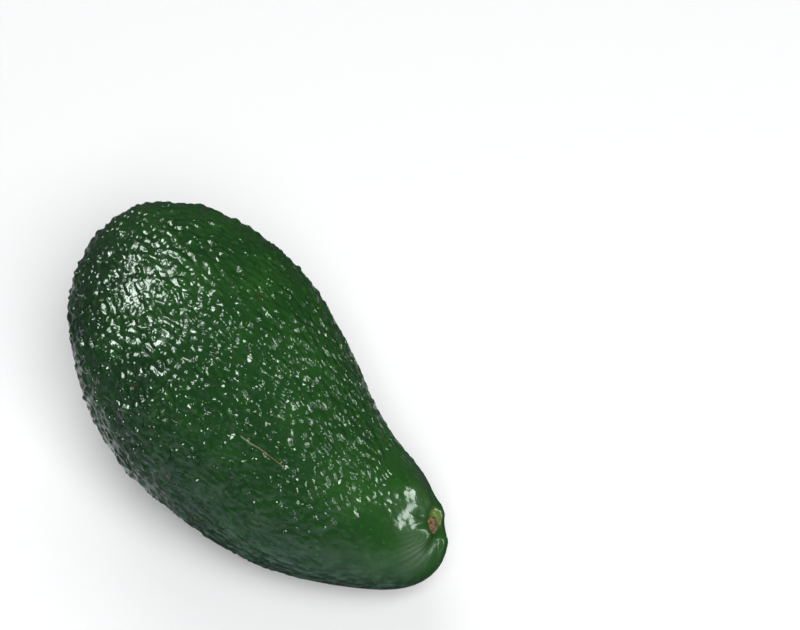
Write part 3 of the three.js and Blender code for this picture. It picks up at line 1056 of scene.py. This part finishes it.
@dataclass
class Fruit:
    """The whole fruit: pear, hollow and pebbled skin in one closed piece."""

    pear: PearForm = field(default_factory=PearForm)
    finish: WaxySkinFinish = field(default_factory=WaxySkinFinish)
    cells_along: int = 172
    cells_around: int = 107
    # The flat that it rests on, and how far round it the skin is smooth.
    flat_depth: float = 0.55
    flat_smooth_radius: float = 13.0
    flat_sharpness: float = 4.0
    # The relief: pebbles about their middle height, then broad swells, lumps, and wrinkles along the neck.
    relief_middle: float = 0.35
    swell: WaveNoise = WaveNoise(26.0, 7)
    swell_height: float = 0.3
    swell_start: float = 1.2
    lump: WaveNoise = WaveNoise(5.4, 11)
    lump_height: float = 0.2
    wrinkle: WaveNoise = WaveNoise(2.6, 13, along=0.12)
    wrinkle_height: float = 0.09
    wrinkle_least: float = 0.35
    wrinkle_neck: Rise = Rise(0.35, 9.0)
    # The turn of the upper flank's middle, and how far the flank reaches.
    upper_turn: float = 82.0
    upper_side_flank: Rise = Rise(0.55, 8.0)
    # The paler collar of skin on the hollow's upper side.
    collar_side: Rise = Rise(0.8, 2.5)
    collar_share: float = 0.75
    collar_radius: float = 2.7
    collar_width: float = 1.2
    # Dull skin inside the hollow, and wider under it.
    dull_side: Rise = Rise(-1.0, -2.0, 1.5, 5.5)
    dull_radius: float = 2.5
    # Pimples, fewer on the neck and more underneath. There are none, and no domes, round the hollow.
    smooth_radius: float = 12.0
    fine_body: Rise = Rise(-0.05, -7.0, 0.35, 0.6)
    fine_underneath: float = 1.1
    # Close-packed domes: steepest on the neck, fewer underneath, and more again round the belly, by how
    # much, where and how widely.
    packed_neck: Rise = Rise(0.14, 8.0, 0.4, 1.0)
    packed_belly: tuple[float, float, float] = (0.3, -0.13, 0.25)
    packed_underneath: float = 0.4
    # Fresher green by the stalk, more of it on the upper flank, and a lighter green on that flank which is
    # painted light.
    fresh_neck: Rise = Rise(0.6, 7.0, 0.0, 0.5)
    fresh_underneath: float = 0.35
    lit_flank_way: tuple[float, float, float] = (0.0, 0.8, 0.3)
    lit_flank_green: Rise = Rise(0.2, 5.0, 0.0, 0.42)
    # Ripples underneath, strongest under the neck, and where the painted sheen streaks and painted shade lie
    # on the shaded side.
    rippled_body: Rise = Rise(-0.35, 6.0)
    rippled_neck: Rise = Rise(0.25, 6.0, 1.0, 1.55)
    shaded_side: Rise = Rise(0.08, -6.0)
    shaded_neck: Rise = Rise(0.1, 6.0, 0.4, 1.0)

    def hollow(self) -> StalkHollow:
        """The stalk hollow of this pear."""
        return StalkHollow(self.pear)

    def pebbles(self) -> PebbleField:
        """The pebbles of this pear."""
        return PebbleField(self.pear)

    def build(self) -> tuple[bpy.types.Object, np.ndarray]:
        """Builds and dresses the fruit.

        Returns:
            The piece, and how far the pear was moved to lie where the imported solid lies.
        """
        balls, quads = ball_net(self.cells_along, self.cells_around)
        smooth = self.hollow().carve(self.pear.places(balls))
        rest = smooth[smooth[:, 2].argmin()]
        piece = build_mesh("fruit_skin", smooth, quads)
        relief = self.pebbles().relief(balls)
        places = smooth + self.heights(balls, relief, smooth, rest)[:, None] * point_normals(piece.data)
        shift = self.shift(places, rest)
        places = places + shift
        places[:, 2] = np.clip(places[:, 2], 0.0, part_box("fruit")[1][2] / MM)
        move_points(piece.data, places)
        for mark, amount in self.marks(balls, relief, smooth).items():
            store(piece.data, mark.value, amount)
        piece.data.materials.append(self.finish.make(self.scar(shift)))
        return piece, shift

    def scar(self, shift: np.ndarray) -> Scratch:
        """Finds where the scratch lies.

        Args:
            shift: how far the pear was moved.

        Returns:
            The scratch's line.
        """
        start, stop = (ball_point(*end) for end in (self.finish.scar_from, self.finish.scar_to))
        middle = (start + stop) / 2.0
        core = np.array([middle[0], 0.0, 0.0])
        out = unit(self.pear.places(unit(middle)) - self.pear.places(core))
        return Scratch(self.pear.places(start) + shift, self.pear.places(stop) + shift, out)

    def marks(self, balls: np.ndarray, relief: np.ndarray, smooth: np.ndarray) -> dict[SkinMark, np.ndarray]:
        """Works out what the material has to know about each point of the skin.

        Args:
            balls: points of the unit ball.
            relief: the pebbles' relief at those points.
            smooth: places of the smooth skin.

        Returns:
            Each mark's amounts.
        """
        station = balls[:, 0]
        facing = np.cos(np.arctan2(balls[:, 2], balls[:, 1]) - math.radians(self.upper_turn))
        upper_side = self.upper_side_flank.at(facing)
        side, distance = self.hollow().local(smooth)[:, 0], self.hollow().distance(smooth)
        body = self.pebbles().neck.at(station) * (1.0 - bell(distance, self.smooth_radius))
        collar = bell(np.maximum(distance - self.collar_radius, 0.0), self.collar_width)
        share, middle, width = self.packed_belly
        packed = self.packed_neck.at(station) + share * bell(station - middle, width)
        flank = self.packed_underneath + (1.0 - self.packed_underneath) * upper_side
        neck = self.fresh_neck.at(station) * (self.fresh_underneath + (1.0 - self.fresh_underneath) * upper_side)
        return {
            SkinMark.RELIEF: relief,
            SkinMark.COLLAR: self.collar_share * self.collar_side.at(side) * collar,
            SkinMark.DULL: bell(np.maximum(distance - self.dull_radius, 0.0), self.dull_side.at(side)),
            SkinMark.FINE: self.fine_body.at(station) * body * (1.0 + self.fine_underneath * (1.0 - upper_side)),
            SkinMark.PACKED: packed * flank * body,
            # Fresher green by the stalk, and painted light on the upper flank.
            SkinMark.FRESH_AND_LIT: neck + self.lit_flank_green.at(balls @ self.lit_flank_way),
            # Where the painted sheen round the stalk lies.
            SkinMark.BLOOM: self.hollow().painted_sheen(smooth),
            SkinMark.RIPPLED: (1.0 - upper_side) * self.rippled_body.at(station) * self.rippled_neck.at(station),
            # Where the painted sheen streaks and painted shade lie.
            SkinMark.SHADED: self.shaded_side.at(facing) * self.shaded_neck.at(station),
        }

    def heights(
        self, balls: np.ndarray, relief: np.ndarray, smooth: np.ndarray, rest: np.ndarray
    ) -> np.ndarray:
        """Adds up the relief of pebbles, swells, lumps and wrinkles, which fades out at the flat.

        Args:
            balls: points of the unit ball.
            relief: the pebbles' relief at those points.
            smooth: places of the smooth skin.
            rest: the place that the fruit rests on.

        Returns:
            The height of the skin over the smooth form at each point.
        """
        upright, station, pebbles = self.pear.upright(balls), balls[:, 0], self.pebbles()
        from_rest = np.linalg.norm(smooth - rest, axis=1) / self.flat_smooth_radius
        clear = 1.0 - np.exp(-(from_rest**self.flat_sharpness))
        outside = 1.0 - bell(self.hollow().distance(smooth), self.swell_start * self.hollow().lip_radius)
        wrinkled = self.wrinkle_neck.at(station) * outside
        wrinkled = (self.wrinkle_least + (1.0 - self.wrinkle_least) * wrinkled) * pebbles.neck.at(station)
        height = pebbles.height * pebbles.share(station) * (relief - self.relief_middle)
        height += self.swell_height * self.swell.heights(upright) * outside
        height += self.lump_height * self.lump.heights(upright) * pebbles.share(station)
        height += self.wrinkle_height * self.wrinkle.heights(upright) * wrinkled
        return height * clear + self.hollow().swell_heights(self.pear.places(balls))

    def shift(self, places: np.ndarray, rest: np.ndarray) -> np.ndarray:
        """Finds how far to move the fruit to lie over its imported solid, with its flat on the floor.

        Args:
            places: the skin's points.
            rest: the place that the fruit rests on.

        Returns:
            The move, in millimetres.
        """
        middle = np.sum(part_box("fruit"), axis=0) / 2.0 / MM
        centre = (places.min(axis=0) + places.max(axis=0)) / 2.0
        return np.array([middle[0] - centre[0], middle[1] - centre[1], -rest[2] - self.flat_depth])


@dataclass(frozen=True)
class DriedStalkFinish:
    """The dried stalk: dead, fibrous plant tissue that shrank and browned in the air.

    It gives the eye a dull, crumbly brown with paler torn fibres, with no gloss beside the waxy skin, and
    painted shade in its pit.
    """

    brown: str = "#523a27"
    tan: str = "#7f6a4a"
    # Painted shade for the pit.
    painted_shade: str = "#1e1610"
    fibre: Grain = Grain(0.7, 5.0, 0.7)
    fibre_edges: tuple[float, float] = (0.35, 0.65)
    roughness: float = 0.85
    bump_height: float = 0.12

    def make(self) -> bpy.types.Material:
        """Builds the material.

        Returns:
            The finished material.
        """
        stalk = Dressing("dried_avocado_stalk")
        pit = stalk.add("Attribute", attribute_name="pit").outputs["Fac"]
        noise = stalk.add("TexNoise", self.fibre.drawn_at(stalk.where))
        fibres = stalk.add("MapRange", [noise, *self.fibre_edges])
        colour = stalk.add("Mix", [fibres, linear(self.brown), linear(self.tan)], data_type="RGBA")
        # Painted shade in the pit.
        colour = stalk.add("Mix", [pit, colour, linear(self.painted_shade)], data_type="RGBA")
        bump = stalk.add("Bump", {"Strength": 1.0, "Distance": self.bump_height * MM, "Height": noise})
        look = {"Base Color": colour, "Roughness": self.roughness, "Normal": bump}
        stalk.add("OutputMaterial", [stalk.add("BsdfPrincipled", look)])
        return stalk.material


@dataclass
class StalkStub:
    """The dried remains of the stalk: a knobbly button in its socket at the bottom of the hollow."""

    hollow: StalkHollow
    finish: DriedStalkFinish = field(default_factory=DriedStalkFinish)
    radius: float = 2.0
    height: float = 1.5
    lift: float = 0.4
    side: float = -0.6
    knobs: int = 5
    knob_share: float = 0.12
    cells: int = 36
    crumb: WaveNoise = WaveNoise(1.3, 23)
    crumb_height: float = 0.22
    pit_place: tuple[float, float] = (0.5, -0.2)
    pit_radius: float = 0.9
    pit_depth: float = 0.9

    def build(self, shift: np.ndarray) -> bpy.types.Object:
        """Builds and dresses the button.

        Args:
            shift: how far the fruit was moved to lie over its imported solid.

        Returns:
            The piece.
        """
        balls, quads = ball_net(self.cells, self.cells)
        turn = np.arctan2(balls[:, 1], balls[:, 0])
        knob = 1.0 + self.knob_share * np.cos(self.knobs * turn) * (1.0 - balls[:, 2] ** 2)
        places = balls * np.array([self.radius, self.radius, self.height])
        places[:, :2] *= knob[:, None]
        places += balls * (self.crumb_height * self.crumb.heights(places))[:, None]
        from_pit = np.linalg.norm(places[:, :2] - self.pit_place, axis=1)
        pit = bell(from_pit, self.pit_radius) * (balls[:, 2] > 0)
        places[:, 2] -= self.pit_depth * pit
        side, _, out = self.hollow.axes()
        seat = self.hollow.seat() + (self.lift - self.hollow.depth) * out + self.side * side
        piece = build_mesh("dried_stalk", places @ self.hollow.axes() + seat + shift, quads)
        store(piece.data, "pit", pit)
        piece.data.materials.append(self.finish.make())
        return piece


@dataclass(frozen=True)
class PaperFinish:
    """The floor: matt white seamless paper, which gives the eye an even pale ground with soft shadows.

    What the fruit's wax mirrors, and what lights it from below, is painted: a floor of painted shade, with a
    zone of painted light in front and a ring of painted light behind. A span is where along its way a zone
    starts and where it is full.
    """

    white: str = "#dfdfe0"
    # The painted shade and painted light that the fruit mirrors and is lit by from below.
    mirrored_painted_shade: str = "#2a3034"
    mirrored_painted_light: str = "#b8c4cc"
    mirrored_painted_ring: str = "#e2e6e8"
    front_azimuth: float = -52.0
    front_span: tuple[float, float] = (40.0, 82.0)
    ring: tuple[float, float] = (78.0, 50.0)
    ring_azimuth: float = 165.0
    ring_span: tuple[float, float] = (-20.0, 10.0)
    ring_end: float = 1.75
    # Paper's fibres are about 0.03 mm wide, too fine to show, so bunches of them are drawn.
    fibre: Grain = Grain(0.8)
    fibre_height: float = 0.05
    fibre_strength: float = 0.1
    roughness: float = 0.9

    def make(self) -> bpy.types.Material:
        """Builds the material.

        Returns:
            The finished material.
        """
        floor = Dressing("white_seamless_paper")
        noise = floor.add("TexNoise", self.fibre.drawn_at(floor.where))
        bump = {"Strength": self.fibre_strength, "Distance": self.fibre_height * MM, "Height": noise}
        zones = []
        for azimuth, span in ((self.front_azimuth, self.front_span), (self.ring_azimuth, self.ring_span)):
            way = tuple(bearing(azimuth, 0.0))
            along = floor.add("VectorMath", [floor.where, way], operation="DOT_PRODUCT")
            edges = (edge * MM for edge in span)
            zones.append(floor.add("MapRange", [along, *edges], interpolation_type="SMOOTHSTEP"))
        ahead, behind = zones
        shrink = tuple(1.0 / (radius * MM) for radius in (*self.ring, 1.0))
        away = floor.add("VectorMath", [floor.where, shrink], operation="MULTIPLY")
        away = floor.add("VectorMath", [away], operation="LENGTH")
        near = floor.add("MapRange", [away, self.ring_end, 1.0], interpolation_type="SMOOTHSTEP")
        near = floor.add("Math", [near, behind], operation="MULTIPLY")
        # Painted shade, with painted light in front and in a ring behind.
        colours = [ahead, linear(self.mirrored_painted_shade), linear(self.mirrored_painted_light)]
        mirrored = floor.add("Mix", colours, data_type="RGBA")
        mirrored = floor.add("Mix", [near, mirrored, linear(self.mirrored_painted_ring)], data_type="RGBA")
        # A ray that comes straight from the camera, wherever it stands, finds plain white paper; every other
        # ray finds the painted shade and light.
        direct = floor.add("LightPath").outputs["Is Camera Ray"]
        colour = floor.add("Mix", [direct, mirrored, linear(self.white)], data_type="RGBA")
        look = {"Base Color": colour, "Roughness": self.roughness, "Normal": floor.add("Bump", bump)}
        floor.add("OutputMaterial", [floor.add("BsdfPrincipled", look)])
        return floor.material


class LampRole(Enum):
    """What each lamp of the studio is for."""

    KEY = "key"
    SIDE = "side"
    LOW = "low"
    CARD = "card"
    FILL = "fill"
    BACK = "back"


@dataclass(frozen=True)
class SoftBox:
    """A studio lamp that faces the fruit: its bearing, its distance and sizes in metres, and its radiance.

    One that isn't mirrored gives no glints, and one that isn't scattered gives only those.
    """

    role: LampRole
    azimuth: float
    elevation: float
    distance: float
    width: float
    height: float
    radiance: float
    mirrored: bool = True
    scattered: bool = True
    cast: str = "#ffffff"

    def place(self, aim: np.ndarray) -> None:
        """Hangs the lamp.

        Args:
            aim: the point that it faces, in metres.
        """
        light = bpy.data.lights.new(f"softbox_{self.role.value}", "AREA")
        light.shape = "RECTANGLE"
        light.size = self.width
        light.size_y = self.height
        light.color = linear(self.cast)[:3]
        light.energy = self.radiance * math.pi * self.width * self.height
        lamp = bpy.data.objects.new(light.name, light)
        bpy.context.scene.collection.objects.link(lamp)
        way = bearing(self.azimuth, self.elevation)
        lamp.location = Vector(aim + way * self.distance)
        lamp.rotation_euler = Vector(way).to_track_quat("Z", "Y").to_euler()
        lamp.visible_glossy = self.mirrored
        lamp.visible_diffuse = self.scattered


@dataclass
class Studio:
    """The floor, the lamps, the dim room round them and the camera."""

    floor_size: float = 6000.0
    room_white: str = "#ffffff"
    room_light: float = 0.08
    paper: PaperFinish = field(default_factory=PaperFinish)
    lamps: tuple[SoftBox, ...] = (
        SoftBox(LampRole.KEY, -161.0, 48.0, 0.9, 0.52, 0.48, 27.5, scattered=False, cast="#f3fff6"),
        SoftBox(LampRole.SIDE, 41.3, 19.6, 0.9, 0.28, 0.37, 20.5, scattered=False, cast="#f3fff6"),
        SoftBox(LampRole.LOW, 23.5, 4.2, 0.9, 0.17, 0.37, 19.0, scattered=False, cast="#f3fff6"),
        SoftBox(LampRole.CARD, -52.0, 4.0, 0.8, 0.9, 0.5, 0.5, scattered=False),
        SoftBox(LampRole.BACK, 140.0, 45.0, 1.4, 1.0, 1.0, 2.6, mirrored=False),
        SoftBox(LampRole.FILL, -20.0, 60.0, 1.4, 1.0, 1.0, 8.8, mirrored=False),
    )
    camera_azimuth: float = 45.86
    camera_elevation: float = 58.0
    camera_distance: float = 500.0
    camera_right: float = 40.35
    camera_up: float = 26.2
    lens: float = 85.0

    def build(self, shift: np.ndarray) -> None:
        """Sets the studio round the fruit.

        Args:
            shift: the place of the middle of the fruit's axis.
        """
        self.lay_floor()
        self.light_room()
        for lamp in self.lamps:
            lamp.place(shift * MM)
        self.set_camera(shift)

    def lay_floor(self) -> None:
        """Lays the paper floor, which isn't part of the object."""
        corners = np.array([[-1.0, -1.0, 0.0], [1.0, -1.0, 0.0], [1.0, 1.0, 0.0], [-1.0, 1.0, 0.0]])
        floor = build_mesh("paper_floor", corners * self.floor_size / 2.0, np.array([[0, 1, 2, 3]]))
        floor.data.materials.append(self.paper.make())
        floor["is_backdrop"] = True

    def light_room(self) -> None:
        """Fills the room with dim, even white light, and keeps the colours as they are lit."""
        world = bpy.data.worlds.new("studio_room")
        world.use_nodes = True
        room = world.node_tree.nodes["Background"].inputs
        room["Color"].default_value = linear(self.room_white)
        room["Strength"].default_value = self.room_light
        bpy.context.scene.world = world
        bpy.context.scene.view_settings.view_transform = "Standard"

    def set_camera(self, shift: np.ndarray) -> None:
        """Sets the camera.

        Args:
            shift: the place of the middle of the fruit's axis.
        """
        turn, rise = math.radians(self.camera_azimuth), math.radians(self.camera_elevation)
        right = np.array([math.cos(turn), math.sin(turn), 0.0])
        back = np.array([math.sin(turn) * math.cos(rise), -math.cos(turn) * math.cos(rise), math.sin(rise)])
        up = np.cross(back, right)
        spot = shift + back * self.camera_distance + right * self.camera_right + up * self.camera_up
        data = bpy.data.cameras.new("camera")
        data.lens = self.lens
        camera = bpy.data.objects.new("camera", data)
        bpy.context.scene.collection.objects.link(camera)
        axes = np.column_stack([right, up, back])
        camera.matrix_world = Matrix.Translation(Vector(spot * MM)) @ Matrix(axes.tolist()).to_4x4()
        bpy.context.scene.camera = camera


def attach(piece: bpy.types.Object, node: str) -> None:
    """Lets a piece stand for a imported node, and reports it.

    Args:
        piece: the finished piece.
        node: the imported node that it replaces.
    """
    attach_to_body(piece, BODY)
    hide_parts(node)
    LOG.info("%s stands for %s: %d faces", piece.name, node, len(piece.data.polygons))


def main() -> None:
    """Builds the fruit, its stalk and the studio."""
    logging.basicConfig(level=logging.INFO, format="%(name)s: %(message)s")
    fruit = Fruit()
    skin, shift = fruit.build()
    attach(skin, "fruit")
    attach(StalkStub(fruit.hollow()).build(shift), "stalk_stub")
    Studio().build(shift)
    boxes = {"cad": SOLID_BOX, "visual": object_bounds()}
    boxes = {name: [list(corner) for corner in box] for name, box in boxes.items()}


if __name__ == "__main__":
    main()
